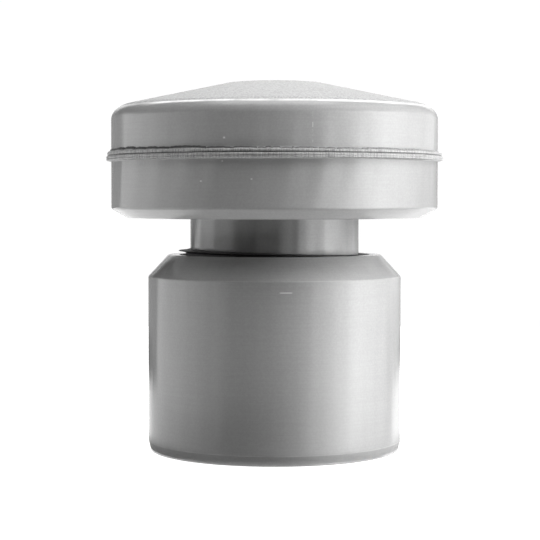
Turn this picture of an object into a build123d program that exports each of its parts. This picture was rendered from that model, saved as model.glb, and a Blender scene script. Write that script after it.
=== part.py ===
from build123d import *
from math import hypot, pi
import os

os.makedirs("parts", exist_ok=True)

# An air admittance valve for drain pipes, standing on the rim of its spigot
# The origin is the centre of that rim, +Z runs up the axis and lengths are in millimetres

# Pipe sizes that the two tubes have outside
spigot_diameter = 75.0
neck_diameter = 50.0

# Reducing adapter: spigot, sloping shoulder and the socket sleeve that hangs inside it
spigot_length = 51.5
spigot_wall = 3.2
lead_in_length = 3.0
lead_in_depth = 0.7
shoulder_height = 6.5
shoulder_width = 6.0
socket_depth = 30.0
socket_wall = 3.1
socket_clearance = 0.1
stop_width = 2.9
stop_thickness = 2.5
roof_thickness = 2.5
web_count = 8
web_thickness = 2.0
web_setback = 5.0

# Rubber seal in the mouth of the socket
groove_depth = 4.0
groove_width = 3.2
seal_clearance = 0.1
lip_height = 0.9

# Valve body: neck, floor, two seats and side wall
neck_wall = 3.0
neck_showing = 10.75
head_diameter = 96.6
head_wall = 2.4
body_side_height = 15.05
body_corner_width = 4.8
body_corner_height = 2.8
floor_thickness = 3.3
seat_height = 11.1
seat_width = 1.6
outer_seat_diameter = 76.0
rib_count = 12
rib_thickness = 1.6
rib_drop = 3.5

# Air inlets: a grille of narrow slots in the floor, between the neck and the outer seat
slot_count = 36
slot_length = 7.8
slot_bar = 2.2

# Weld between the two halves of the head: a bead on each, with a notch between them
body_bead_width = 1.45
body_bead_height = 1.7
body_bead_lip = 0.5
cap_bead_width = 1.05
cap_bead_height = 1.35
weld_notch = 0.9

# Cap: side wall and sloping top
cap_side_height = 14.2
cap_rise = 7.3
cap_flat_diameter = 28.4
cap_corner_width = 3.0
cap_corner_height = 1.9

# Stem guide and ribs under the cap
guide_wall = 2.6
guide_clearance = 0.3
cap_rib_count = 6
cap_rib_thickness = 1.6
cap_rib_depth = 4.0

# Membrane and the carrier that it is stretched on, which lift together off the seats
valve_lift = 5.0
stop_clearance = 0.3
membrane_thickness = 1.4
membrane_overlap = 2.2
carrier_thickness = 1.6
carrier_setback = 1.0
spoke_count = 6
spoke_thickness = 1.6
spoke_depth = 3.0
hub_diameter = 14.0
hub_height = 3.5
stem_diameter = 7.8
stem_length = 10.8
flange_clearance = 0.8
flange_width = 2.0
flange_thickness = 1.4
collar_wall = 1.4
collar_clearance = 0.1

# Radii and heights that several pieces share
spigot_radius = spigot_diameter / 2
neck_radius = neck_diameter / 2
neck_bore = neck_radius - neck_wall
adapter_height = spigot_length + shoulder_height
socket_radius = neck_radius + socket_clearance
socket_floor = adapter_height - socket_depth
groove_radius = socket_radius + groove_width
groove_floor = adapter_height - groove_depth
head_bottom = adapter_height + neck_showing
floor_top = head_bottom + floor_thickness
seat_level = floor_top + seat_height
weld_level = floor_top + body_side_height
head_radius = head_diameter / 2
head_bore = head_radius - head_wall
outer_seat_radius = outer_seat_diameter / 2

# Adapter: one revolved wall with the socket sleeve hanging from its roof
sleeve_radius = socket_radius + socket_wall
sleeve_bottom = socket_floor - stop_thickness
spigot_bore = spigot_radius - spigot_wall
roof_level = groove_floor - roof_thickness
web_bottom = sleeve_bottom + web_setback
web_top = roof_level + roof_thickness / 4
web_inside = socket_radius + socket_wall / 2
web_outside = spigot_bore + spigot_wall / 2

with BuildPart() as reducing_adapter:
    with BuildSketch(Plane.XZ):
        with BuildLine():
            Polyline(
                (spigot_bore, 0),
                (spigot_radius - lead_in_depth, 0),
                (spigot_radius, lead_in_length),
                (spigot_radius, spigot_length),
                (spigot_radius - shoulder_width, adapter_height),
                (groove_radius, adapter_height),
                (groove_radius, groove_floor),
                (socket_radius, groove_floor),
                (socket_radius, socket_floor),
                (socket_radius - stop_width, socket_floor),
                (socket_radius - stop_width, sleeve_bottom),
                (sleeve_radius, sleeve_bottom),
                (sleeve_radius, roof_level),
                (spigot_bore, roof_level),
                close=True,
            )
        make_face()
    revolve(axis=Axis.Z)
    # Radial webs tie the sleeve to the outer wall
    with BuildSketch(Plane.XY.offset(web_bottom)):
        with PolarLocations((web_inside + web_outside) / 2, web_count):
            Rectangle(web_outside - web_inside, web_thickness)
    extrude(amount=web_top - web_bottom)

reducing_adapter.part.label = "reducing_adapter"
export_step(reducing_adapter.part, "parts/reducing_adapter.step")

# Neck seal: a square ring in the groove, whose top slopes up to a thin lip round the neck
seal_inside = neck_radius + seal_clearance
seal_outside = groove_radius - seal_clearance

with BuildPart() as neck_seal:
    with BuildSketch(Plane.XZ):
        with BuildLine():
            Polyline(
                (seal_inside, groove_floor),
                (seal_outside, groove_floor),
                (seal_outside, adapter_height),
                (seal_inside, adapter_height + lip_height),
                close=True,
            )
        make_face()
    revolve(axis=Axis.Z)

neck_seal.part.label = "neck_seal"
export_step(neck_seal.part, "parts/neck_seal.step")

# Valve body: neck, floor, both seats and the side wall with its weld bead are one revolved section
outer_seat_inside = outer_seat_radius - seat_width / 2
outer_seat_outside = outer_seat_radius + seat_width / 2
rib_inside = outer_seat_radius
rib_outside = head_bore + head_wall / 2
slot_middle = (neck_radius + outer_seat_inside) / 2
slot_width = 2 * pi * (slot_middle - slot_length / 2) / slot_count - slot_bar

with BuildPart() as valve_body:
    with BuildSketch(Plane.XZ):
        with BuildLine():
            Polyline(
                (neck_bore, socket_floor),
                (neck_radius, socket_floor),
                (neck_radius, head_bottom),
                (head_radius - body_corner_width, head_bottom),
                (head_radius, head_bottom + body_corner_height),
                (head_radius, weld_level - body_bead_height),
                (head_radius + body_bead_width, weld_level - body_bead_lip),
                (head_radius + body_bead_width - weld_notch, weld_level),
                (head_bore, weld_level),
                (head_bore, floor_top),
                (outer_seat_outside, floor_top),
                (outer_seat_outside, seat_level),
                (outer_seat_inside, seat_level),
                (outer_seat_inside, floor_top),
                (neck_radius, floor_top),
                (neck_radius, seat_level),
                (neck_bore, seat_level),
                close=True,
            )
        make_face()
    revolve(axis=Axis.Z)
    # Ribs between the outer seat and the side wall
    with BuildSketch(Plane.XY.offset(floor_top)):
        with PolarLocations((rib_inside + rib_outside) / 2, rib_count):
            Rectangle(rib_outside - rib_inside, rib_thickness)
    extrude(amount=seat_height - rib_drop)
    # Air inlets: a ring of slots through the floor, narrow enough to keep insects out
    with BuildSketch(Plane.XY.offset(floor_top)):
        with PolarLocations(slot_middle, slot_count):
            Rectangle(slot_length, slot_width)
    extrude(amount=-floor_thickness, mode=Mode.SUBTRACT)

valve_body.part.label = "valve_body"
export_step(valve_body.part, "parts/valve_body.step")

# Moving group: the membrane lies on both seats, stretched round the collar of its carrier
carrier_bottom = seat_level + membrane_thickness
carrier_top = carrier_bottom + carrier_thickness
hub_top = carrier_top + hub_height
flange_radius = neck_bore - flange_clearance
collar_radius = flange_radius - flange_width
carrier_bore = collar_radius - collar_wall
membrane_radius = outer_seat_radius + membrane_overlap
carrier_radius = membrane_radius - carrier_setback
stem_radius = stem_diameter / 2
spoke_start = hub_diameter / 4
spoke_end = carrier_radius - carrier_setback

with BuildPart() as membrane:
    with BuildSketch(Plane.XY.offset(seat_level)):
        Circle(membrane_radius)
        Circle(collar_radius + collar_clearance, mode=Mode.SUBTRACT)
    extrude(amount=membrane_thickness)

membrane.part.label = "membrane"
export_step(membrane.part, "parts/membrane.step")

with BuildPart() as membrane_carrier:
    # Ring over the membrane, with a collar through it and a flange under its inner edge
    with BuildSketch(Plane.XZ):
        with BuildLine():
            Polyline(
                (carrier_bore, seat_level - flange_thickness),
                (flange_radius, seat_level - flange_thickness),
                (flange_radius, seat_level),
                (collar_radius, seat_level),
                (collar_radius, carrier_bottom),
                (carrier_radius, carrier_bottom),
                (carrier_radius, carrier_top),
                (carrier_bore, carrier_top),
                close=True,
            )
        make_face()
    revolve(axis=Axis.Z)
    # Hub and guide stem
    with BuildSketch(Plane.XY.offset(carrier_top)):
        Circle(hub_diameter / 2)
    extrude(amount=hub_height)
    with BuildSketch(Plane.XY.offset(hub_top)):
        Circle(stem_radius)
    extrude(amount=stem_length)
    # Spokes from the hub to the ring
    with BuildSketch(Plane.XY.offset(carrier_top)):
        with PolarLocations((spoke_start + spoke_end) / 2, spoke_count):
            Rectangle(spoke_end - spoke_start, spoke_thickness)
    extrude(amount=spoke_depth)

membrane_carrier.part.label = "membrane_carrier"
export_step(membrane_carrier.part, "parts/membrane_carrier.step")

# Cap: weld bead, side wall, sloping top and stem guide are one revolved section
cap_flat_radius = cap_flat_diameter / 2
cap_edge_level = weld_level + cap_side_height
cap_top = cap_edge_level + cap_rise
cap_slope = cap_rise / (head_radius - cap_flat_radius)
slope_wall = head_wall * hypot(1, cap_slope)
ceiling = cap_top - head_wall
ceiling_edge = cap_edge_level + head_wall * cap_slope - slope_wall
ceiling_flat = head_radius - (ceiling + slope_wall - cap_edge_level) / cap_slope
guide_bore = stem_radius + guide_clearance
guide_radius = guide_bore + guide_wall
guide_bottom = hub_top + valve_lift + stop_clearance
guide_middle = guide_bore + guide_wall / 2
cap_wall_middle = head_radius - head_wall / 2

with BuildPart() as cap:
    with BuildSketch(Plane.XZ):
        with BuildLine():
            Polyline(
                (head_bore, weld_level),
                (head_radius + cap_bead_width, weld_level),
                (head_radius, weld_level + cap_bead_height),
                (head_radius, cap_edge_level - cap_corner_height),
                (head_radius - cap_corner_width, cap_edge_level + cap_corner_width * cap_slope),
                (cap_flat_radius, cap_top),
                (0, cap_top),
                (0, ceiling),
                (guide_bore, ceiling),
                (guide_bore, guide_bottom),
                (guide_radius, guide_bottom),
                (guide_radius, ceiling),
                (ceiling_flat, ceiling),
                (head_bore, ceiling_edge),
                close=True,
            )
        make_face()
    revolve(axis=Axis.Z)
    # Ribs under the sloping top, from the guide to the side wall
    for rib in range(cap_rib_count):
        with BuildSketch(Plane.XZ.rotated((0, 0, 360 * rib / cap_rib_count))):
            with BuildLine():
                Polyline(
                    (guide_middle, ceiling + head_wall / 2),
                    (ceiling_flat, ceiling + head_wall / 2),
                    (cap_wall_middle, ceiling_edge),
                    (cap_wall_middle, ceiling_edge - cap_rib_depth),
                    (ceiling_flat, ceiling - cap_rib_depth),
                    (guide_middle, ceiling - cap_rib_depth),
                    close=True,
                )
            make_face()
        extrude(amount=cap_rib_thickness / 2, both=True)

cap.part.label = "cap"
export_step(cap.part, "parts/cap.step")
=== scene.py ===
import math

import bpy
import numpy as np
from bpy.props import FloatProperty, FloatVectorProperty, IntProperty, PointerProperty
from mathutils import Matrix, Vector


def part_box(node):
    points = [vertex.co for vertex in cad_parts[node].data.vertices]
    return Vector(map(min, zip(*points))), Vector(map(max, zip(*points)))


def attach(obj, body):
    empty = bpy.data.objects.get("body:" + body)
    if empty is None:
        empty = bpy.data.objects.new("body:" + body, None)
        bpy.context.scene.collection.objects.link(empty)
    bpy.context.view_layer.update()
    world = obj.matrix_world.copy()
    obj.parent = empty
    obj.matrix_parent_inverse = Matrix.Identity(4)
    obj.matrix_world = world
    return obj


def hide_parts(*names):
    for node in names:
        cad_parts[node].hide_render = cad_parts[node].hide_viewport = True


bl_info = {
    "name": "Air admittance valve looks",
    "version": (1, 0, 0),
    "blender": (4, 5, 0),
    "location": "3D View > Sidebar > Vent valve",
    "description": "Finishes, weld flash, rubber seal and studio for a drain vent valve",
    "category": "Object",
}

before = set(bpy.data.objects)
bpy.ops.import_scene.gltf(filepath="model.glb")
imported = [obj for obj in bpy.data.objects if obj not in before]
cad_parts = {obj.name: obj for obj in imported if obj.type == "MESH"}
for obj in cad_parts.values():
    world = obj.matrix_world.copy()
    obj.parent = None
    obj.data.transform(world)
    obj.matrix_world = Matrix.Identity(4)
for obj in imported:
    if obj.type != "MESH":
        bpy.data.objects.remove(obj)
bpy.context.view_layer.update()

# Levels and radii of the solids in metres. Those that no box gives are the part's own lengths
MM = 0.001
WELD_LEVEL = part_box("cap")[0][2]
TOP_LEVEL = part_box("cap")[1][2]
ADAPTER_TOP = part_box("reducing_adapter")[1][2]
SEAL_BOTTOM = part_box("neck_seal")[0][2]
CAP_BEAD_STAND = 1.05 * MM
HEAD_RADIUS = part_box("cap")[1][0] - CAP_BEAD_STAND
SPIGOT_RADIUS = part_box("reducing_adapter")[1][0]
SPIGOT_LEAD_IN = 3.0 * MM
SHOULDER_LEVEL = ADAPTER_TOP - 6.5 * MM
HEAD_BOTTOM = WELD_LEVEL - 18.35 * MM
RIM_LINE_LEVEL = TOP_LEVEL - 7.5 * MM
TOP_GRAIN_LEVEL = TOP_LEVEL - 7.3 * MM

# Corners of the head that are rounded wider: an inner radius and two heights
BODY_CORNER = (HEAD_RADIUS - 6 * MM, HEAD_BOTTOM - MM, HEAD_BOTTOM + 4 * MM)
CAP_CORNER = (HEAD_RADIUS - 4 * MM, TOP_LEVEL - 10 * MM, TOP_LEVEL - MM)


# Node helpers


class Graph:
    """A material's or world's node tree, with one call for each node."""

    def __init__(self, tree):
        self.tree = tree
        self.tree.nodes.clear()

    def add(self, kind, inputs=None, **settings):
        """Adds a node, sets its properties and fills its sockets with values or links."""
        node = self.tree.nodes.new(kind)
        for key, value in settings.items():
            setattr(node, key, value)
        for key, value in (inputs or {}).items():
            self.fill(node.inputs[key], value)
        return node

    def fill(self, socket, value):
        """A socket is linked to another node's socket, or holds a plain value."""
        if isinstance(value, bpy.types.NodeSocket):
            self.tree.links.new(value, socket)
        else:
            socket.default_value = value

    def math(self, operation, *values, clamp=False):
        """A math node's result."""
        node = self.add("ShaderNodeMath", operation=operation, use_clamp=clamp)
        for index, value in enumerate(values):
            self.fill(node.inputs[index], value)
        return node.outputs[0]

    def ramp(self, value, low, high, to_low=0.0, to_high=1.0):
        """Value carried smoothly from low..high to to_low..to_high, clamped."""
        node = self.add("ShaderNodeMapRange", interpolation_type="SMOOTHSTEP")
        for index, item in enumerate((value, low, high, to_low, to_high)):
            self.fill(node.inputs[index], item)
        return node.outputs[0]

    def band(self, value, middle, half_width, core):
        """1 near the middle, falling to 0 at the half width. The fall starts at its core share."""
        away = self.math("ABSOLUTE", self.math("SUBTRACT", value, middle))
        return self.ramp(away, half_width * core, half_width, 1.0, 0.0)

    def mix(self, share, first, second):
        """Colour mix of first and second by share."""
        # A mix node takes colours in its inputs 6 and 7 and gives them in its output 2
        node = self.add("ShaderNodeMix", data_type="RGBA")
        self.fill(node.inputs[0], share)
        self.fill(node.inputs[6], first)
        self.fill(node.inputs[7], second)
        return node.outputs[2]

    def mix_numbers(self, share, first, second):
        """Number between first and second by share."""
        # A mix node takes numbers in its inputs 2 and 3 and gives them in its output 0
        return self.add("ShaderNodeMix", {0: share, 2: first, 3: second}).outputs[0]

    def noise(self, place, scale, detail, roughness):
        """Noise in 0..1. A scale for each axis stretches it."""
        if isinstance(scale, tuple):
            place = self.add("ShaderNodeMapping", {"Vector": place, "Scale": scale}).outputs[0]
            scale = 1.0
        sockets = {"Vector": place, "Scale": scale, "Detail": detail, "Roughness": roughness}
        return self.add("ShaderNodeTexNoise", sockets).outputs[0]

    def blend(self, patterns, shares):
        """Sum of the named patterns, each times its share."""
        parts = [self.math("MULTIPLY", patterns[name], share) for name, share in shares.items()]
        total = parts[0]
        for part in parts[1:]:
            total = self.math("ADD", total, part)
        return total

    def off_axis(self, place):
        """A place's distance from the Z axis, and its height."""
        x, y, z = self.add("ShaderNodeSeparateXYZ", {0: place}).outputs
        squares = self.math("ADD", self.math("MULTIPLY", x, x), self.math("MULTIPLY", y, y))
        return self.math("SQRT", squares), z

    def surface(self, colour, roughness, bump_strength, bump_depth, height):
        """The shader and output of a bumped plastic or rubber."""
        bump = self.add("ShaderNodeBump",
                        {"Strength": bump_strength, "Distance": bump_depth, "Height": height})
        shader = self.add("ShaderNodeBsdfPrincipled",
                          {"Base Color": colour, "Roughness": roughness, "Normal": bump.outputs[0]})
        self.add("ShaderNodeOutputMaterial", {0: shader.outputs[0]})
        return shader


def new_material(name):
    """An empty material and its graph."""
    material = bpy.data.materials.new(name)
    material.use_nodes = True
    return material, Graph(material.node_tree)


def grey(value):
    """A neutral colour."""
    return (value, value, value, 1.0)


def dress(node_name, material):
    """A CAD node takes this material in place of the ones it came with."""
    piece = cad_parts[node_name]
    piece.data.materials.clear()
    piece.data.materials.append(material)


# Edges


# Rounding is put on top of the solids by modifiers. Angles are in degrees
MERGE_DISTANCE = 0.002 * MM
FLAT_ANGLE = 0.4
CORNER_ANGLE = 15
CORNER_SEGMENTS = 6
EDGE_ANGLE = 25
ADAPTER_EDGE_ANGLE = 12
MOULDING_SEGMENTS = 3
INNER_SEGMENTS = 2
INNER_EDGE_WIDTH = 0.2 * MM


def smooth_faces(mesh):
    """Every face of the mesh is shaded smooth."""
    mesh.polygons.foreach_set("use_smooth", np.ones(len(mesh.polygons), dtype=bool))


def corner_marker(name, inner_radius, low, high):
    """A node modifier's tree that weights bent edges beyond a radius and between two heights."""
    tree = bpy.data.node_groups.new(name, "GeometryNodeTree")
    tree.interface.new_socket("Geometry", in_out="INPUT", socket_type="NodeSocketGeometry")
    tree.interface.new_socket("Geometry", in_out="OUTPUT", socket_type="NodeSocketGeometry")
    g = Graph(tree)
    solid = g.add("NodeGroupInput").outputs[0]
    angle = g.add("GeometryNodeInputMeshEdgeAngle").outputs[0]
    radius, height = g.off_axis(g.add("GeometryNodeInputPosition").outputs[0])
    bent = g.math("GREATER_THAN", angle, math.radians(CORNER_ANGLE))
    outside = g.math("GREATER_THAN", radius, inner_radius)
    between = g.math("MULTIPLY", g.math("GREATER_THAN", height, low), g.math("LESS_THAN", height, high))
    chosen = g.math("MULTIPLY", g.math("MULTIPLY", bent, outside), between)
    marked = g.add("GeometryNodeStoreNamedAttribute",
                   {"Geometry": solid, "Name": "bevel_weight_edge", "Value": chosen},
                   data_type="FLOAT", domain="EDGE")
    g.add("NodeGroupOutput", {0: marked.outputs[0]})
    return tree


def add_bevel(piece, name, width, segments, limit):
    """A bevel modifier that rounds the piece's edges, chosen by weight or by angle."""
    bevel = piece.modifiers.new(name, "BEVEL")
    bevel.width = width
    bevel.segments = segments
    bevel.limit_method = limit
    bevel.harden_normals = True
    bevel.use_clamp_overlap = False
    return bevel


def soften_edges(node_name, width, segments, corner=None, corner_width=0.0, least_angle=EDGE_ANGLE):
    """Merges the loose triangles of a CAD node and rounds its edges, by modifiers only.

    corner is an inner radius and two heights, between which the bent edges get the corner width.
    The rest are rounded where their faces meet at more than so many degrees.
    """
    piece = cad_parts[node_name]
    smooth_faces(piece.data)
    merge = piece.modifiers.new("merge", "WELD")
    merge.merge_threshold = MERGE_DISTANCE
    flat = piece.modifiers.new("flat faces", "DECIMATE")
    flat.decimate_type = "DISSOLVE"
    flat.angle_limit = math.radians(FLAT_ANGLE)
    if corner is not None:
        marker = piece.modifiers.new("corner marks", "NODES")
        marker.node_group = corner_marker(node_name + "_corner", *corner)
        add_bevel(piece, "corner round", corner_width, CORNER_SEGMENTS, "WEIGHT")
    edge = add_bevel(piece, "edge round", width, segments, "ANGLE")
    edge.angle_limit = math.radians(least_angle)


# Materials


# Noise patterns: scale to a metre, even or for each axis, then detail and roughness
SKIN_PATTERNS = {
    "clouds": (38.0, 4.0, 0.55),
    "streaks": ((260.0, 260.0, 22.0), 3.0, 0.6),
    "hairlines": ((60.0, 60.0, 3800.0), 2.0, 0.5),
    "grain": (1700.0, 3.0, 0.65),
}
MARK_BREAKS = (1500.0, 1.0, 0.5)
# Makes the painted highlight lines stronger and weaker along their way
HIGHLIGHT_VARIATION_PATTERN = (150.0, 3.0, 0.6)
TORN_RIDGES = ((2600.0, 2600.0, 300.0), 2.0, 0.6)
TOP_STIPPLE = (1600.0, 3.0, 0.75)
RUBBER_BLOOM = (120.0, 4.0, 0.6)
WHITE_CLOUDS = (70.0, 3.0, 0.5)
WHITE_GRAIN = (1800.0, 2.0, 0.5)
SEAL_PORES = (900.0, 2.0, 0.5)
MEMBRANE_PORES = (700.0, 2.0, 0.5)
TABLE_CLOUDS = (14.0, 2.0, 0.5)

# How much of each skin pattern makes the plastic's tone, its gloss and its relief
TONE_SHARES = {"clouds": 0.6, "streaks": 0.4}
GLOSS_SHARES = {"clouds": 0.5, "hairlines": 0.5}
RELIEF_SHARES = {"grain": 0.35, "hairlines": 0.25, "streaks": 0.4}

# Contrast of a pattern: the noise values between which it goes from one end to the other
SOFT = (0.3, 0.7)
FIRM = (0.35, 0.65)
STIPPLED = (0.38, 0.62)
HARD = (0.4, 0.6)
BROKEN = (0.5, 0.56)
# Contrast of the painted highlight lines' variation
HIGHLIGHT_CONTRAST = (0.3, 0.6)
BLOOMED = (0.4, 0.75)

# Greys over the plastic's own, darkest and lightest where there are two
TONE_GREYS = (0.955, 1.04)
GRAIN_GREY = 1.25
HAIRLINE_GREY = 0.94
TORN_GREYS = (0.62, 1.3)
# Painted shade in the crevice over the weld flash's beads
CREVICE_SHADE_GREY = 0.08
TOP_GREYS = (0.76, 1.24)

# Colours of their own: light marks and painted highlight lines, the carrier's dark and light clouds, and
# the bloom on rubber, which is the rubber's grey times the lift plus the base
MARK_AND_HIGHLIGHT_GREY = 0.82
WHITE_DARK = (0.74, 0.735, 0.70, 1.0)
WHITE_LIGHT = (0.83, 0.825, 0.80, 1.0)
BLOOM_LIFT = 2.2
BLOOM_BASE = 0.01

# The most that each pattern or mark takes of the colour
GRAIN_SHARE = 0.32
HAIRLINE_SHARE = 0.3
# Share of the light marks and painted highlight lines
MARK_AND_HIGHLIGHT_SHARE = 0.75
TORN_SHARE = 0.85
# Share of the painted shade in the crevice over the flash
CREVICE_SHADE_SHARE = 0.9
BLOOM_SHARE = 0.5

# Dust specks: the random value over which a cell has one, and the speck's edge as a share of a cell
SPECK_CHOICE = (0.55, 0.6)
SPECK_EDGE = (0.010, 0.022)

# Marks and painted highlight lines: the share of a half length or half height at which the fall to the edge
# starts, over which y marks end between front and back, and how strong a painted highlight line is at its
# weakest and strongest
LENGTH_CORE = 0.6
HEIGHT_CORE = 0.4
FRONT_EDGE = 1 * MM
HIGHLIGHT_STRENGTHS = (0.35, 1.0)

# Roughness over the piece's own, glossiest and dullest
GREY_GLOSS = (0.8, 1.25)
RUBBER_GLOSS = (0.85, 1.1)
WHITE_GLOSS = (0.85, 1.2)

# Relief: its depth in metres and the strength of its bump
GREY_RELIEF = 0.05 * MM
RUBBER_RELIEF = 0.04 * MM
RUBBER_BUMP = 0.35
WHITE_RELIEF = 0.03 * MM
WHITE_BUMP = 0.12

# The carrier's ejector swirls and their share of its relief
SWIRLS = {"Scale": 420.0, "Distortion": 0.6, "Detail": 1.0}
SWIRL_RELIEF = 0.3

# The top's grain: the heights over its level between which it fades in, and its share of the relief
TOP_GRAIN_RISE = (-0.1 * MM, 0.3 * MM)
STIPPLE_RELIEF = 7.0


def specks(g, place, density):
    """Dust: small round specks in some cells of a coarse cell pattern."""
    cells = g.add("ShaderNodeTexVoronoi", {"Vector": place, "Scale": density})
    random_value = g.add("ShaderNodeSeparateColor", {0: cells.outputs["Color"]}).outputs[0]
    dot = g.ramp(cells.outputs["Distance"], *SPECK_EDGE, 1.0, 0.0)
    return g.math("MULTIPLY", dot, g.ramp(random_value, *SPECK_CHOICE))


def scuffs(g, place, x, y, z, marks):
    """Soft-edged short marks at chosen places of the side that faces -Y."""
    scuff = 0.0
    broken = g.ramp(g.noise(place, *MARK_BREAKS), *BROKEN)
    for mark_x, mark_z, half_length, half_height, strength in marks:
        along = g.band(x, mark_x, half_length, LENGTH_CORE)
        across = g.band(z, mark_z, half_height, HEIGHT_CORE)
        patch = g.math("MULTIPLY", g.math("MULTIPLY", along, across), strength)
        if half_height > half_length:
            patch = g.math("MULTIPLY", patch, broken)
        scuff = g.math("MAXIMUM", scuff, patch)
    return g.math("MULTIPLY", scuff, g.ramp(y, -FRONT_EDGE, FRONT_EDGE, 1.0, 0.0))


def with_highlight_lines(g, place, z, highlight_lines, marks_and_highlights):
    """Adds thin painted highlight lines all round to the light marks, each stronger and weaker on the way.
    """
    highlight_variation = g.ramp(g.noise(place, *HIGHLIGHT_VARIATION_PATTERN), *HIGHLIGHT_CONTRAST, *HIGHLIGHT_STRENGTHS)
    for level, half_height, strength in highlight_lines:
        line = g.math("MULTIPLY", g.band(z, level, half_height, HEIGHT_CORE), strength)
        marks_and_highlights = g.math("MAXIMUM", marks_and_highlights, g.math("MULTIPLY", line, highlight_variation))
    return marks_and_highlights


def with_torn_flash(g, place, shade, colour):
    """Covers the colour with torn ridges, and with painted shade where the crevice_shade attribute says so.
    """
    crevice_shade = g.add("ShaderNodeAttribute", attribute_name="crevice_shade").outputs["Fac"]
    ridges = g.ramp(g.noise(place, *TORN_RIDGES), *FIRM)
    torn = g.mix(ridges, *(grey(shade * over) for over in TORN_GREYS))
    colour = g.mix(TORN_SHARE, colour, torn)
    # Painted shade: the crevice over each bead is darkened almost to black
    return g.mix(g.math("MULTIPLY", crevice_shade, CREVICE_SHADE_SHARE), colour, grey(shade * CREVICE_SHADE_GREY))


def with_top_grain(g, place, z, level, settings, colour, rough, height):
    """Turns colour, gloss and relief above a level into the matte grain of a spark-eroded mould."""
    stipple = g.noise(place, *TOP_STIPPLE)
    above = g.ramp(z, *(level + rise for rise in TOP_GRAIN_RISE))
    shade = settings.shade * settings.ground_lift
    pits = g.mix(g.ramp(stipple, *STIPPLED), *(grey(shade * over) for over in TOP_GREYS))
    colour = g.mix(above, colour, pits)
    rough = g.mix_numbers(above, rough, settings.ground_roughness)
    relief = g.math("MULTIPLY", g.math("MULTIPLY", stipple, above), STIPPLE_RELIEF)
    return colour, rough, g.math("ADD", height, relief)


def moulded_grey(name, settings, marks=(), highlight_lines=(), grain_level=None, torn_and_shaded=False):
    """Satin grey pipe plastic: faint flow clouds, fine drawn scratches, dust specks and an uneven gloss.

    marks are scuffs on the side that faces -Y, each as (x, z, half length, half height, strength) in
    metres. One that is taller than it is long is broken into dots. highlight_lines are painted highlights
    on edges, each as (z, half height, strength). Above grain_level the skin is the fine matte grain of a
    spark-eroded mould. A torn_and_shaded piece has torn ridges and painted shade where crevice_shade says
    so.
    """
    material, g = new_material(name)
    place = g.add("ShaderNodeTexCoord").outputs["Object"]
    x, y, z = g.add("ShaderNodeSeparateXYZ", {0: place}).outputs
    skin = {pattern: g.noise(place, *noise) for pattern, noise in SKIN_PATTERNS.items()}
    shade = settings.shade
    tone = g.ramp(g.blend(skin, TONE_SHARES), *SOFT)
    colour = g.mix(tone, *(grey(shade * over) for over in TONE_GREYS))
    grain = g.math("MULTIPLY", g.ramp(skin["grain"], *FIRM), GRAIN_SHARE)
    colour = g.mix(grain, colour, grey(shade * GRAIN_GREY))
    hairlines = g.ramp(skin["hairlines"], *HARD, 0.0, HAIRLINE_SHARE)
    colour = g.mix(hairlines, colour, grey(shade * HAIRLINE_GREY))
    dust = specks(g, place, settings.speck_density)
    marks_and_highlights = g.math("MAXIMUM", dust, scuffs(g, place, x, y, z, marks), clamp=True)
    # Painted highlight lines along edges, on top of the light marks
    marks_and_highlights = with_highlight_lines(g, place, z, highlight_lines, marks_and_highlights)
    colour = g.mix(g.math("MULTIPLY", marks_and_highlights, MARK_AND_HIGHLIGHT_SHARE), colour, grey(MARK_AND_HIGHLIGHT_GREY))
    if torn_and_shaded:
        # Torn ridges, and painted shade in the crevice over the flash
        colour = with_torn_flash(g, place, shade, colour)
    gloss = settings.flash_roughness if torn_and_shaded else settings.roughness
    rough = g.ramp(g.blend(skin, GLOSS_SHARES), *SOFT, *(gloss * over for over in GREY_GLOSS))
    height = g.blend(skin, RELIEF_SHARES)
    if grain_level is not None:
        colour, rough, height = with_top_grain(g, place, z, grain_level, settings, colour, rough, height)
    shader = g.surface(colour, rough, settings.bump, GREY_RELIEF, height)
    shader.inputs["IOR"].default_value = settings.ior
    return material


def moulded_rubber(name, shade, roughness, pores):
    """Black elastomer: chalky clouds, fine pores and a dull gloss."""
    material, g = new_material(name)
    place = g.add("ShaderNodeTexCoord").outputs["Object"]
    clouds = g.noise(place, *RUBBER_BLOOM)
    bloom = g.math("MULTIPLY", g.ramp(clouds, *BLOOMED), BLOOM_SHARE)
    colour = g.mix(bloom, grey(shade), grey(shade * BLOOM_LIFT + BLOOM_BASE))
    rough = g.ramp(clouds, *SOFT, *(roughness * over for over in RUBBER_GLOSS))
    g.surface(colour, rough, RUBBER_BUMP, RUBBER_RELIEF, g.noise(place, *pores))
    return material


def moulded_white(name, roughness):
    """Off-white acetal for the carrier: faint warm clouds, ejector swirls and a clean satin gloss."""
    material, g = new_material(name)
    place = g.add("ShaderNodeTexCoord").outputs["Object"]
    clouds = g.noise(place, *WHITE_CLOUDS)
    swirls = g.add("ShaderNodeTexWave", {"Vector": place, **SWIRLS},
                   wave_type="RINGS", rings_direction="Z").outputs[1]
    colour = g.mix(g.ramp(clouds, *SOFT), WHITE_DARK, WHITE_LIGHT)
    rough = g.ramp(clouds, *SOFT, *(roughness * over for over in WHITE_GLOSS))
    height = g.math("ADD", g.math("MULTIPLY", swirls, SWIRL_RELIEF), g.noise(place, *WHITE_GRAIN))
    g.surface(colour, rough, WHITE_BUMP, WHITE_RELIEF, height)
    return material


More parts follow.
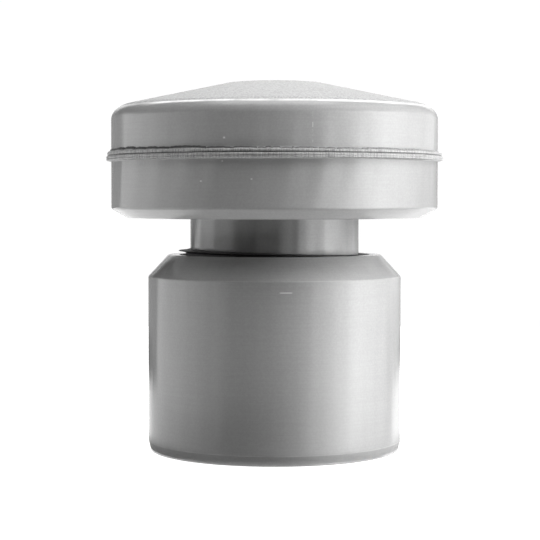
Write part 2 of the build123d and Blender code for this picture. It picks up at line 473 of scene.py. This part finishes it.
# Handling marks on the side that faces -Y: a scuff, dust specks and a dotted scratch
ADAPTER_MARKS = [(3.1 * MM, ADAPTER_TOP - 9.6 * MM, 2.1 * MM, 0.22 * MM, 1.0)]
BODY_MARKS = [(x * MM, WELD_LEVEL + z * MM, 0.3 * MM, 0.28 * MM, 0.8)
              for x, z in ((-14.2, -2.5), (-20.1, -7.9), (-6.3, -7.4))]
CAP_MARKS = [(-13.7 * MM, WELD_LEVEL + 3.8 * MM, 0.36 * MM, 0.34 * MM, 1.0),
             (10.2 * MM, WELD_LEVEL + 6.4 * MM, 0.15 * MM, 5.4 * MM, 0.55)]

# Painted highlight lines all round the edges of the spigot's lead-in, the adapter's shoulder and the cap's
# rim
ADAPTER_HIGHLIGHT_LINES = [(SPIGOT_LEAD_IN, 0.2 * MM, 0.3), (SHOULDER_LEVEL, 0.2 * MM, 0.22)]
CAP_HIGHLIGHT_LINES = [(RIM_LINE_LEVEL, 0.38 * MM, 0.95)]

# The membrane's rubber, which has no settings of its own
MEMBRANE_SHADE = 0.018
MEMBRANE_ROUGHNESS = 0.6


# Surfaces


def bearings(count):
    """Evenly spaced bearings round the axis in radians."""
    return np.linspace(0.0, 2 * np.pi, count, endpoint=False)


def round_axis(radius, bearing, height):
    """Points at radius times (sine, minus cosine) of the bearing, at a height. Bearing 0 faces -Y."""
    parts = np.broadcast_arrays(radius * np.sin(bearing), -radius * np.cos(bearing), height)
    return np.stack(parts, axis=-1).reshape(-1, 3)


def add_mesh(name, points, faces):
    """A new piece of the scene, made of points and faces."""
    mesh = bpy.data.meshes.new(name)
    mesh.from_pydata(points.tolist(), [], faces)
    smooth_faces(mesh)
    mesh.update()
    piece = bpy.data.objects.new(name, mesh)
    bpy.context.scene.collection.objects.link(piece)
    return piece


def closed_curve(points, count):
    """A smooth closed line through the points.

    Between two points it is the cubic whose tangents are half the chord between the neighbours.
    """
    points = np.asarray(points, float)
    t = np.linspace(0.0, len(points), count, endpoint=False)
    k = t.astype(int)
    f = (t - k)[:, None]
    p0, p1, p2, p3 = (points[(k + shift) % len(points)] for shift in (-1, 0, 1, 2))
    line = 2 * p1 + (p2 - p0) * f
    square = (2 * p0 - 5 * p1 + 4 * p2 - p3) * f**2
    cube = (3 * p1 - p0 - 3 * p2 + p3) * f**3
    return 0.5 * (line + square + cube)


# Between which sizes waves and hills are drawn, and what carries a mean of waves to about 1
WAVE_SIZES = (0.5, 1.0)
HILL_SIZES = (0.55, 1.0)
WAVE_GAIN = 1.6


def waves(bearing, orders, seed):
    """Sines round the axis with seeded phases and sizes: their mean by size, scaled to about -1..1.

    The order of a sine is how many times it rises and falls in a turn.
    """
    rng = np.random.default_rng(seed)
    phase = rng.uniform(0.0, 2 * np.pi, len(orders))
    size = rng.uniform(*WAVE_SIZES, len(orders))
    total = (size[:, None] * np.sin(np.outer(orders, bearing) + phase[:, None])).sum(axis=0)
    return total / size.sum() * WAVE_GAIN


def hills(bearing, valleys, seed):
    """A row of rounded hills with narrow valleys between them, from 0 to 1.

    Between two valleys it is the fourth root of 4u(1 - u), times a seeded size, where u runs from 0 to 1.
    """
    bearing = np.mod(bearing, 2 * np.pi)
    valleys = np.sort(np.mod(np.asarray(valleys), 2 * np.pi))
    place = np.searchsorted(valleys, bearing, side="right") - 1
    start = valleys[place]
    width = np.mod(valleys[(place + 1) % len(valleys)] - start, 2 * np.pi)
    u = np.mod(bearing - start, 2 * np.pi) / width
    size = np.random.default_rng(seed).uniform(*HILL_SIZES, len(valleys))
    return size[place] * np.clip(4 * u * (1 - u), 0.0, 1.0) ** 0.25


def ring_mesh(name, radius, height):
    """A closed ring from arrays of radius and height, rows round the axis and columns round the section.

    A point is radius times (sine, minus cosine) of the row's bearing, at its height.
    """
    rows, columns = radius.shape
    row, column = (part.ravel() for part in np.meshgrid(np.arange(rows), np.arange(columns), indexing="ij"))
    next_row, next_column = (row + 1) % rows, (column + 1) % columns
    corners = np.stack([row * columns + column, next_row * columns + column,
                        next_row * columns + next_column, row * columns + next_column], axis=1)
    return add_mesh(name, round_axis(radius, bearings(rows)[:, None], height), corners.tolist())


# Sections of the weld's beads as (stand-out from the head's wall, height over the weld) in mm
LOWER_SECTION = [(-0.2, -1.66), (0.6, -1.62), (1.3, -1.46), (1.45, -1.22), (1.32, -0.98),
                 (1.48, -0.7), (1.38, -0.34), (1.15, -0.14), (0.8, -0.08), (-0.2, -0.08)]
UPPER_SECTION = [(-0.2, 0.0), (0.8, 0.0), (1.12, 0.1), (1.2, 0.4), (1.12, 0.7), (0.8, 0.9),
                 (0.42, 1.0), (0.25, 1.3), (-0.2, 1.34)]

# Where the painted crevice shade starts in each bead, as a share of its height, and the seeds of their
# waves
LOWER_CREVICE, UPPER_CREVICE = 0.8, 0.6
LOWER_SEED, UPPER_SEED = 11, 29

# Bearings in degrees of the upper crest's valleys that face the front. Seeded ones fill the rest
FRONT_VALLEYS = [-69.6, -61.0, -53.5, -47.2, -41.7, -36.5, -22.5, -13.6, -5.5, -3.2,
                 -0.9, 1.9, 5.3, 6.4, 14.0, 16.4, 20.0, 28.8, 46.6, 62.0]
VALLEY_START, VALLEY_END = 78.0, 278.0
VALLEY_STEPS = (2.5, 13.0)
VALLEY_SEED = 7
VALLEY_DRAWS = 60

# Orders of the waves in the beads, slow and fine, and of the small ones on the hills
SLOW_SWELL, FINE_SWELL = np.arange(3, 30, 4), np.arange(40, 190, 9)
SLOW_RISE, FINE_RISE = np.arange(5, 41, 5), np.arange(50, 170, 11)
HILL_WAVES = np.arange(60, 210, 13)

# Their shares of the swell and the rise, the hills' mean, and what the left side rises more
SLOW_SWELL_SHARE, FINE_SWELL_SHARE = 0.6, 0.4
SLOW_RISE_SHARE, FINE_RISE_SHARE = 0.5, 0.5
HILL_SHARE, HILL_WAVE_SHARE = 2.0, 0.25
HILL_MEAN = 0.75
LEAN_RISE = 1.9
RISE_POWER = 1.5

# Over which share of the bead's height the painted crevice shade fades in, and how strong it is in front
# and sideways
CREVICE_SHADE_FADE = 0.12
CREVICE_SHADE_FRONT, CREVICE_SHADE_LEAN = 0.82, 0.55


def crest_valleys():
    """Bearings in radians of the valleys in the upper crest."""
    steps = np.random.default_rng(VALLEY_SEED).uniform(*VALLEY_STEPS, VALLEY_DRAWS)
    rest = VALLEY_START + np.cumsum(steps)
    return np.radians(FRONT_VALLEYS + rest[rest < VALLEY_END].tolist())


def weld_bead(name, section, settings, lumps, crest, seed, crevice, valleys=None):
    """A squeezed-out weld bead: its section is carried round the axis and swells and sags on the way.

    Radius is the head's radius plus the section's stand-out plus lumps times the swell times how far the
    point stands out. Height is the weld's level plus the section's height plus crest times the rise times
    how high the point lies to the power 1.5. The swell is slow and fine waves. The rise is slow and fine
    waves too, or with valleys it is twice the hills less 0.75 plus a quarter of small waves. On the left
    minus the sine of the bearing, times 1.9, is added to it. The crevice_shade attribute is painted shade.
    It starts at the crevice's share of the bead's height, and it is darker on the left than on the right.
    """
    bearing = bearings(settings.turns)
    line = closed_curve(section, settings.columns)
    low, high = line.min(axis=0), line.max(axis=0)
    out, up = ((line - low) / (high - low)).T
    swell = (SLOW_SWELL_SHARE * waves(bearing, SLOW_SWELL, seed)
             + FINE_SWELL_SHARE * waves(bearing, FINE_SWELL, seed + 1))
    if valleys is None:
        rise = (SLOW_RISE_SHARE * waves(bearing, SLOW_RISE, seed + 2)
                + FINE_RISE_SHARE * waves(bearing, FINE_RISE, seed + 3))
    else:
        rise = (HILL_SHARE * (hills(bearing, valleys, seed) - HILL_MEAN)
                + HILL_WAVE_SHARE * waves(bearing, HILL_WAVES, seed + 3))
    rise = rise + LEAN_RISE * np.clip(-np.sin(bearing), 0.0, 1.0)
    stand = line[None, :, 0] + lumps * swell[:, None] * out[None, :]
    height = line[None, :, 1] + crest * rise[:, None] * up[None, :] ** RISE_POWER
    bead = ring_mesh(name, HEAD_RADIUS + stand * MM, WELD_LEVEL + height * MM)
    # Painted shade in the crevice over the bead, darker on the left, away from the key light
    strength = np.minimum(CREVICE_SHADE_FRONT - CREVICE_SHADE_LEAN * np.sin(bearing), 1.0)
    crevice_shade = np.outer(strength, np.clip((up - crevice) / CREVICE_SHADE_FADE, 0.0, 1.0)).ravel()
    values = bead.data.attributes.new("crevice_shade", "FLOAT", "POINT").data
    values.foreach_set("value", crevice_shade.astype(np.float32))
    return bead


# Section of the seal as (radius, height over the adapter's mouth) in mm, from the groove's floor to the lip
SEAL_INSIDE = 25.1
GROOVE_FLOOR = (SEAL_BOTTOM - ADAPTER_TOP) / MM + 0.02
SEAL_SECTION = [(SEAL_INSIDE, GROOVE_FLOOR), (26.6, GROOVE_FLOOR), (28.1, GROOVE_FLOOR), (28.15, -2.3),
                (28.1, -0.6), (27.4, -0.2), (26.4, -0.05), (26.3, 0.5), (27.2, 0.86), (28.5, 1.12),
                (27.4, 1.28), (26.0, 1.5), (25.12, 1.65), (SEAL_INSIDE, 0.2), (SEAL_INSIDE, -1.8)]
SEAL_STEPS, SEAL_COLUMNS = 360, 60

# The lip's root radius, its reach and its lowest height in mm, and the least radius, just off the neck
LIP_ROOT, LIP_REACH, LIP_LEVEL = 26.0, 2.4, 0.45
LEAST_RADIUS = 25.06
LIP_WAVES = np.arange(2, 9)
LIP_SEED = 5


def lip_seal(name, settings):
    """The rubber seal: its lip stands out on the left, and on the right it lies down in the groove.

    The tuck is its setting times half of one plus the sine of the bearing, and a point's share of the lip
    grows from 0 at the lip's root to 1 at its edge. Radius is the seal's inside radius plus the section's
    distance from it, times one less the tuck times the root of the lip's share. Height over the mouth is
    the section's plus waves on the lip, times one less the tuck. Height under the mouth is the section's.
    A point also sinks by the tuck times the sink's setting, in full over the mouth and less and less down
    to 1 mm under it.
    """
    bearing = bearings(SEAL_STEPS)
    line = closed_curve(SEAL_SECTION, SEAL_COLUMNS)
    out, up = line[None, :, 0], line[None, :, 1]
    lip = np.clip((out - LIP_ROOT) / LIP_REACH, 0.0, 1.0) * (up > LIP_LEVEL)
    wave = settings.lip_wave * waves(bearing, LIP_WAVES, LIP_SEED)
    tuck = settings.lip_tuck * (0.5 + 0.5 * np.sin(bearing[:, None]))
    radius = np.maximum(SEAL_INSIDE + (out - SEAL_INSIDE) * (1.0 - tuck * lip**0.5), LEAST_RADIUS)
    height = np.minimum(up, 0.0) + (np.maximum(up, 0.0) + wave[:, None] * lip) * (1.0 - tuck)
    height -= settings.lip_sink * tuck * np.clip(up + 1.0, 0.0, 1.0)
    return ring_mesh(name, radius * MM, ADAPTER_TOP + height * MM)


# Stage


# What the gloss mirrors: the bearings in degrees where a light starts and ends and the elevations
# between which it stands, each with how far its edge fades to either side, and then its radiance.
# Bearing 0 is the camera's side, 90 its right
ROOM_LIGHTS = [
    ((30.0, 6.0), (50.0, 6.0), (-50.0, 2.0), (20.0, 8.0), 1.8),
    ((50.0, 6.0), (66.0, 6.0), (-50.0, 2.0), (20.0, 8.0), 3.6),
    ((66.0, 6.0), (84.0, 6.0), (-50.0, 2.0), (22.0, 8.0), 5.0),
    ((84.0, 6.0), (100.0, 6.0), (-50.0, 2.0), (20.0, 8.0), 2.7),
    ((100.0, 6.0), (118.0, 6.0), (-50.0, 2.0), (20.0, 8.0), 1.6),
    ((118.0, 6.0), (150.0, 6.0), (0.0, 1.0), (14.0, 8.0), 0.6),
    ((118.0, 6.0), (150.0, 6.0), (-50.0, 2.0), (-6.4, 1.0), 0.6),
    ((135.0, 3.0), (180.0, 0.1), (-18.0, 4.0), (-5.2, 0.6), 1.35),
    ((135.0, 3.0), (180.0, 0.1), (-60.0, 4.0), (-18.0, 4.0), 1.8),
    ((125.0, 6.0), (180.0, 0.1), (-4.0, 1.0), (12.0, 8.0), 0.3),
    ((-70.0, 8.0), (-48.0, 8.0), (-50.0, 2.0), (14.0, 8.0), 0.6),
    ((-92.0, 6.0), (-70.0, 8.0), (-50.0, 2.0), (14.0, 8.0), 1.1),
    ((-112.0, 6.0), (-92.0, 6.0), (-50.0, 2.0), (14.0, 8.0), 1.45),
    ((-134.0, 2.5), (-112.0, 6.0), (-50.0, 2.0), (14.0, 8.0), 1.5),
    ((-179.9, 0.1), (-134.0, 2.5), (-4.0, 1.0), (12.0, 8.0), 0.33),
    ((-179.9, 0.1), (-134.0, 2.5), (-18.0, 4.0), (-5.8, 0.4), 1.45),
    ((-179.9, 0.1), (-134.0, 2.5), (-60.0, 4.0), (-18.0, 4.0), 1.4),
    ((170.0, 4.0), (180.0, 0.1), (-6.0, 2.0), (9.0, 3.0), 0.9),
    ((-179.9, 0.1), (-170.0, 4.0), (-6.0, 2.0), (9.0, 3.0), 0.9),
    ((160.0, 8.0), (180.0, 0.1), (10.0, 3.0), (36.0, 6.0), 1.3),
    ((-179.9, 0.1), (-160.0, 8.0), (10.0, 3.0), (36.0, 6.0), 1.1),
    ((150.0, 8.0), (180.0, 0.1), (36.0, 6.0), (64.0, 6.0), 6.0),
    ((-179.9, 0.1), (-150.0, 8.0), (36.0, 6.0), (64.0, 6.0), 6.0),
    ((-179.9, 0.1), (180.0, 0.1), (72.0, 10.0), (91.0, 0.5), 2.2),
    ((-30.0, 20.0), (30.0, 20.0), (-50.0, 2.0), (22.0, 8.0), 0.33),
    ((-179.9, 0.1), (180.0, 0.1), (66.0, 3.0), (74.0, 8.0), 1.5),
]
BACKGROUND_RADIANCE = 1.02

# Soft lights on the plastic: name, bearing and elevation in degrees, distance, width and height in
# metres, and power in watts
SOFTBOXES = [
    ("softbox_front_high", -10.0, 62.0, 0.7, 0.5, 0.5, 2.0),
    ("softbox_below", 0.0, -50.0, 0.6, 0.5, 0.3, 0.3),
    ("softbox_floor", 0.0, -86.0, 0.6, 0.4, 0.4, 0.6),
    ("softbox_below_right", 70.0, -45.0, 0.6, 0.4, 0.3, 1.4),
    ("softbox_below_left", -70.0, -45.0, 0.6, 0.4, 0.3, 1.35),
    ("softbox_right", 85.0, 8.0, 0.7, 0.3, 0.5, 6.7),
    ("softbox_right_high", 70.0, 50.0, 0.7, 0.3, 0.3, 3.7),
    ("softbox_left", -95.0, 5.0, 0.7, 0.3, 0.4, 1.0),
    ("softbox_left_high", -70.0, 50.0, 0.7, 0.3, 0.3, 0.6),
    ("softbox_behind", 180.0, 35.0, 0.7, 0.6, 0.3, 1.0),
]

# Table: steps round its rim, how far it lies under the valve, its dark clouds and its roughness, and the
# shares of the foot's radius between which it fades out
TABLE_STEPS = 96
TABLE_DROP = 0.05 * MM
TABLE_DARK = 0.96
TABLE_ROUGHNESS = 0.7
FOOT_FADE = (0.7, 1.3)

SENSOR_WIDTH = 36.0
NEAR_CLIP = 0.01


def add_table(settings):
    """A round pale top, flat at a little under height 0.

    It is white where the camera sees it, and clear from below. All other light meets only a grey ring of it
    round the foot, a painted shadow on the floor.
    """
    rim = round_axis(settings.floor_radius, bearings(TABLE_STEPS), -TABLE_DROP)
    table = add_mesh("table_top", rim, [list(range(TABLE_STEPS))])
    material, g = new_material("table_white")
    place = g.add("ShaderNodeTexCoord").outputs["Object"]
    # The ring's grey is a painted shadow on the floor, seen only by reflections and bounce light
    shade = settings.floor_shadow_grey
    tone = g.mix(g.noise(place, *TABLE_CLOUDS), grey(shade * TABLE_DARK), grey(shade))
    seen = g.add("ShaderNodeLightPath").outputs["Is Camera Ray"]
    radius = g.off_axis(place)[0]
    outside = g.ramp(radius, *(settings.foot_radius * share for share in FOOT_FADE))
    inside = g.math("LESS_THAN", radius, SPIGOT_RADIUS)
    unseen = g.math("SUBTRACT", 1.0, seen)
    open_part = g.math("MULTIPLY", g.math("MAXIMUM", outside, inside), unseen)
    open_part = g.math("MAXIMUM", open_part, g.add("ShaderNodeNewGeometry").outputs["Backfacing"])
    shader = g.add("ShaderNodeBsdfPrincipled",
                   {"Base Color": tone, "Roughness": TABLE_ROUGHNESS,
                    "Emission Color": grey(1.0), "Emission Strength": seen})
    clear = g.add("ShaderNodeBsdfTransparent")
    both = g.add("ShaderNodeMixShader", {0: open_part, 1: shader.outputs[0], 2: clear.outputs[0]})
    g.add("ShaderNodeOutputMaterial", {0: both.outputs[0]})
    table.data.materials.append(material)
    return table


def room_light(g, azimuth, elevation, start, end, low, high, radiance):
    """A soft-edged patch of the room: its radiance between two bearings and two elevations."""
    rising, falling = (0.0, 1.0), (1.0, 0.0)
    share = 1.0
    for value, edge, ends in ((azimuth, start, rising), (azimuth, end, falling),
                              (elevation, low, rising), (elevation, high, falling)):
        place, fade = edge
        span = math.radians(place - fade), math.radians(place + fade)
        share = g.math("MULTIPLY", share, g.ramp(value, *span, *ends))
    return g.math("MULTIPLY", share, radiance)


def add_room(scene, settings):
    """White to the camera, and for the gloss a dark room with soft lights on all sides and above."""
    world = bpy.data.worlds.new("studio_room")
    world.use_nodes = True
    g = Graph(world.node_tree)
    direction = g.add("ShaderNodeTexCoord").outputs["Generated"]
    x, y, z = g.add("ShaderNodeSeparateXYZ", {0: direction}).outputs
    azimuth = g.math("ARCTAN2", x, g.math("MULTIPLY", y, -1.0))
    elevation = g.math("ARCSINE", z)
    radiance = 0.0
    for light in ROOM_LIGHTS:
        radiance = g.math("ADD", radiance, room_light(g, azimuth, elevation, *light))
    radiance = g.math("MULTIPLY", radiance, settings.room)
    seen = g.add("ShaderNodeLightPath").outputs["Is Camera Ray"]
    room = g.add("ShaderNodeBackground", {0: grey(1.0), 1: radiance})
    white = g.add("ShaderNodeBackground", {0: tuple(settings.background), 1: BACKGROUND_RADIANCE})
    both = g.add("ShaderNodeMixShader", {0: seen, 1: room.outputs[0], 2: white.outputs[0]})
    g.add("ShaderNodeOutputWorld", {0: both.outputs[0]})
    scene.world = world
    world.cycles_visibility.diffuse = False


def add_softbox(scene, name, bearing, elevation, distance, width, height, power):
    """A rectangular soft light that faces the middle of the valve and shows in no reflection."""
    data = bpy.data.lights.new(name, "AREA")
    data.shape = "RECTANGLE"
    data.size, data.size_y = width, height
    data.energy = power
    lamp = bpy.data.objects.new(name, data)
    turn, rise = math.radians(bearing), math.radians(elevation)
    away = Vector((math.sin(turn) * math.cos(rise), -math.cos(turn) * math.cos(rise), math.sin(rise)))
    middle = Vector((0.0, 0.0, TOP_LEVEL / 2))
    lamp.location = away * distance + middle
    lamp.rotation_euler = away.to_track_quat("Z", "Y").to_euler()
    lamp.visible_glossy = False
    lamp.visible_camera = False
    scene.collection.objects.link(lamp)


def add_camera(scene, settings):
    """The camera in front of the valve, a little over its middle and tilted down."""
    data = bpy.data.cameras.new("front_camera")
    data.sensor_width = SENSOR_WIDTH
    data.lens = settings.lens
    data.clip_start = NEAR_CLIP
    camera = bpy.data.objects.new("front_camera", data)
    camera.location = (settings.sideways, -settings.distance, settings.eye_level)
    camera.rotation_euler = (math.pi / 2 - settings.pitch, 0.0, 0.0)
    scene.collection.objects.link(camera)
    scene.camera = camera


# Settings


class MouldingSettings(bpy.types.PropertyGroup):
    """The grey mouldings: adapter, body and cap."""

    shade: FloatProperty(
        name="Shade", description="Grey of the plastic", default=0.36, min=0.0, max=1.0)
    roughness: FloatProperty(
        name="Roughness", description="Roughness of the sides", default=0.16, min=0.02, max=1.0)
    ior: FloatProperty(
        name="Refraction", description="Refraction of the plastic", default=1.5, min=1.0, max=2.0)
    bump: FloatProperty(
        name="Skin", description="Depth of the skin's grain", default=0.1, min=0.0, max=1.0)
    speck_density: FloatProperty(
        name="Specks", description="Dust cells to a metre", default=60.0, min=1.0)
    ground_lift: FloatProperty(
        name="Top shade", description="Grey of the grained top over the sides", default=0.84)
    ground_roughness: FloatProperty(
        name="Top roughness", description="Roughness of the top", default=0.6)
    edge_width: FloatProperty(
        name="Edge", description="Rounding of the moulded edges", default=0.35 * MM, unit="LENGTH")
    body_corner: FloatProperty(
        name="Body corner", description="Rounding of the body's lower corner", default=0.5 * MM,
        unit="LENGTH")
    cap_corner: FloatProperty(
        name="Cap corner", description="Rounding of the cap's upper corner", default=1.6 * MM,
        unit="LENGTH")
    flash_roughness: FloatProperty(
        name="Flash roughness", description="Roughness of the weld's flash", default=0.42)
    carrier_roughness: FloatProperty(
        name="Carrier roughness", description="Roughness of the carrier", default=0.32)


class WeldSettings(bpy.types.PropertyGroup):
    """The flash that the weld squeezed out between the two halves of the head."""

    turns: IntProperty(
        name="Steps", description="Steps round the axis", default=1440, min=90)
    columns: IntProperty(
        name="Section steps", description="Steps round a bead's section", default=28, min=8)
    lower_lump: FloatProperty(
        name="Lower lumps", description="Swelling of the lower bead in mm", default=0.14)
    lower_crest: FloatProperty(
        name="Lower crest", description="Rise of the lower bead in mm", default=0.05)
    upper_lump: FloatProperty(
        name="Upper lumps", description="Swelling of the upper bead in mm", default=0.2)
    upper_crest: FloatProperty(
        name="Upper crest", description="Rise of the upper bead in mm", default=0.34)


class SealSettings(bpy.types.PropertyGroup):
    """The rubber seal in the mouth of the adapter."""

    shade: FloatProperty(
        name="Shade", description="Grey of the rubber", default=0.022, min=0.0, max=1.0)
    roughness: FloatProperty(
        name="Roughness", description="Roughness of the rubber", default=0.5, min=0.02, max=1.0)
    lip_tuck: FloatProperty(
        name="Lip tuck", description="How far the lip draws in on the right", default=0.85)
    lip_sink: FloatProperty(
        name="Lip sink", description="How deep the right side lies in mm", default=0.2)
    lip_wave: FloatProperty(
        name="Lip wave", description="Waviness of the lip in mm", default=0.12)


class StageSettings(bpy.types.PropertyGroup):
    """Camera, floor and lights."""

    distance: FloatProperty(
        name="Distance", description="Camera to the valve's axis", default=0.505, unit="LENGTH")
    eye_level: FloatProperty(
        name="Eye level", description="Camera above the floor", default=0.0738, unit="LENGTH")
    sideways: FloatProperty(
        name="Sideways", description="Camera off the axis", default=-0.00132, unit="LENGTH")
    pitch: FloatProperty(
        name="Pitch", description="Camera's downward tilt", default=math.radians(2.33),
        subtype="ANGLE")
    lens: FloatProperty(
        name="Lens", description="Focal length on 36 mm", default=113.1)
    floor_radius: FloatProperty(
        name="Floor", description="Radius of the table", default=0.5, unit="LENGTH")
    foot_radius: FloatProperty(
        name="Foot", description="Radius of the table's shaded middle", default=0.05,
        unit="LENGTH")
    # The grey of the ring round the foot is a painted shadow on the floor
    floor_shadow_grey: FloatProperty(
        name="Floor shade", description="Grey of the table", default=0.25)
    room: FloatProperty(
        name="Room", description="Strength of what the gloss mirrors", default=1.0, min=0.0)
    softboxes: FloatProperty(
        name="Softboxes", description="Strength of the soft lights", default=1.0, min=0.0)
    background: FloatVectorProperty(
        name="Background", description="Colour behind the valve", subtype="COLOR", size=4,
        default=(1.0, 1.0, 1.0, 1.0))


# Operators


class VENT_OT_grey_mouldings(bpy.types.Operator):
    """Finish the adapter, the body and the cap as satin grey plastic"""

    bl_idname = "vent.grey_mouldings"
    bl_label = "Grey mouldings"

    def execute(self, context):
        settings = context.scene.vent_moulding
        width = settings.edge_width
        # The adapter's and the cap's edges carry painted highlight lines
        dress("reducing_adapter", moulded_grey("adapter_grey", settings, ADAPTER_MARKS, ADAPTER_HIGHLIGHT_LINES))
        dress("valve_body", moulded_grey("body_grey", settings, BODY_MARKS))
        dress("cap", moulded_grey("cap_grey", settings, CAP_MARKS, CAP_HIGHLIGHT_LINES, TOP_GRAIN_LEVEL))
        soften_edges("reducing_adapter", width, MOULDING_SEGMENTS, least_angle=ADAPTER_EDGE_ANGLE)
        soften_edges("valve_body", width, MOULDING_SEGMENTS, BODY_CORNER, settings.body_corner)
        soften_edges("cap", width, MOULDING_SEGMENTS, CAP_CORNER, settings.cap_corner)
        return {"FINISHED"}


class VENT_OT_weld_flash(bpy.types.Operator):
    """Make the two irregular beads of the weld round the head"""

    bl_idname = "vent.weld_flash"
    bl_label = "Weld flash"

    def execute(self, context):
        settings = context.scene.vent_weld
        # The flash's finish paints shade into the crevice over each bead
        finish = moulded_grey("flash_grey", context.scene.vent_moulding, torn_and_shaded=True)
        lower = weld_bead("weld_flash_lower", LOWER_SECTION, settings, settings.lower_lump,
                          settings.lower_crest, LOWER_SEED, LOWER_CREVICE)
        upper = weld_bead("weld_flash_upper", UPPER_SECTION, settings, settings.upper_lump,
                          settings.upper_crest, UPPER_SEED, UPPER_CREVICE, crest_valleys())
        for bead in (lower, upper):
            bead.data.materials.append(finish)
            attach(bead, "housing")
        return {"FINISHED"}


class VENT_OT_neck_seal(bpy.types.Operator):
    """Make the rubber seal, whose thin lip stands clear of the adapter's mouth"""

    bl_idname = "vent.neck_seal"
    bl_label = "Neck seal"

    def execute(self, context):
        settings = context.scene.vent_seal
        seal = lip_seal("seal_with_lip", settings)
        seal.data.materials.append(
            moulded_rubber("seal_rubber", settings.shade, settings.roughness, SEAL_PORES))
        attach(seal, "housing")
        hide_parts("neck_seal")
        return {"FINISHED"}


class VENT_OT_inner_pieces(bpy.types.Operator):
    """Finish the membrane and its carrier"""

    bl_idname = "vent.inner_pieces"
    bl_label = "Inner pieces"

    def execute(self, context):
        roughness = context.scene.vent_moulding.carrier_roughness
        rubber = moulded_rubber("membrane_rubber", MEMBRANE_SHADE, MEMBRANE_ROUGHNESS, MEMBRANE_PORES)
        dress("membrane", rubber)
        dress("membrane_carrier", moulded_white("carrier_white", roughness))
        soften_edges("membrane", INNER_EDGE_WIDTH, INNER_SEGMENTS)
        soften_edges("membrane_carrier", INNER_EDGE_WIDTH, INNER_SEGMENTS)
        return {"FINISHED"}


class VENT_OT_stage(bpy.types.Operator):
    """Set the pale table, the studio lights and the camera"""

    bl_idname = "vent.stage"
    bl_label = "Stage"

    def execute(self, context):
        scene = context.scene
        settings = scene.vent_stage
        table = add_table(settings)
        add_room(scene, settings)
        for name, *place, power in SOFTBOXES:
            add_softbox(scene, name, *place, power * settings.softboxes)
        add_camera(scene, settings)
        scene.view_settings.view_transform = "Standard"
        return {"FINISHED"}


class VENT_PT_panel(bpy.types.Panel):
    """The pieces of the vent valve and their settings"""

    bl_idname = "VENT_PT_panel"
    bl_label = "Vent valve"
    bl_space_type = "VIEW_3D"
    bl_region_type = "UI"
    bl_category = "Vent valve"

    def draw(self, context):
        scene = context.scene
        rows = (
            ("vent.grey_mouldings", scene.vent_moulding),
            ("vent.weld_flash", scene.vent_weld),
            ("vent.neck_seal", scene.vent_seal),
            ("vent.inner_pieces", None),
            ("vent.stage", scene.vent_stage),
        )
        for operator, settings in rows:
            box = self.layout.box()
            box.operator(operator)
            if settings is not None:
                for name in settings.__annotations__:
                    box.prop(settings, name)


SETTINGS = {
    "vent_moulding": MouldingSettings,
    "vent_weld": WeldSettings,
    "vent_seal": SealSettings,
    "vent_stage": StageSettings,
}
CLASSES = (
    *SETTINGS.values(),
    VENT_OT_grey_mouldings,
    VENT_OT_weld_flash,
    VENT_OT_neck_seal,
    VENT_OT_inner_pieces,
    VENT_OT_stage,
    VENT_PT_panel,
)


def register():
    for cls in CLASSES:
        bpy.utils.register_class(cls)
    for name, group in SETTINGS.items():
        setattr(bpy.types.Scene, name, PointerProperty(type=group))


def unregister():
    for name in SETTINGS:
        delattr(bpy.types.Scene, name)
    for cls in reversed(CLASSES):
        bpy.utils.unregister_class(cls)


def main():
    register()
    bpy.ops.vent.grey_mouldings()
    bpy.ops.vent.weld_flash()
    bpy.ops.vent.neck_seal()
    bpy.ops.vent.inner_pieces()
    bpy.ops.vent.stage()


if __name__ == "__main__":
    main()
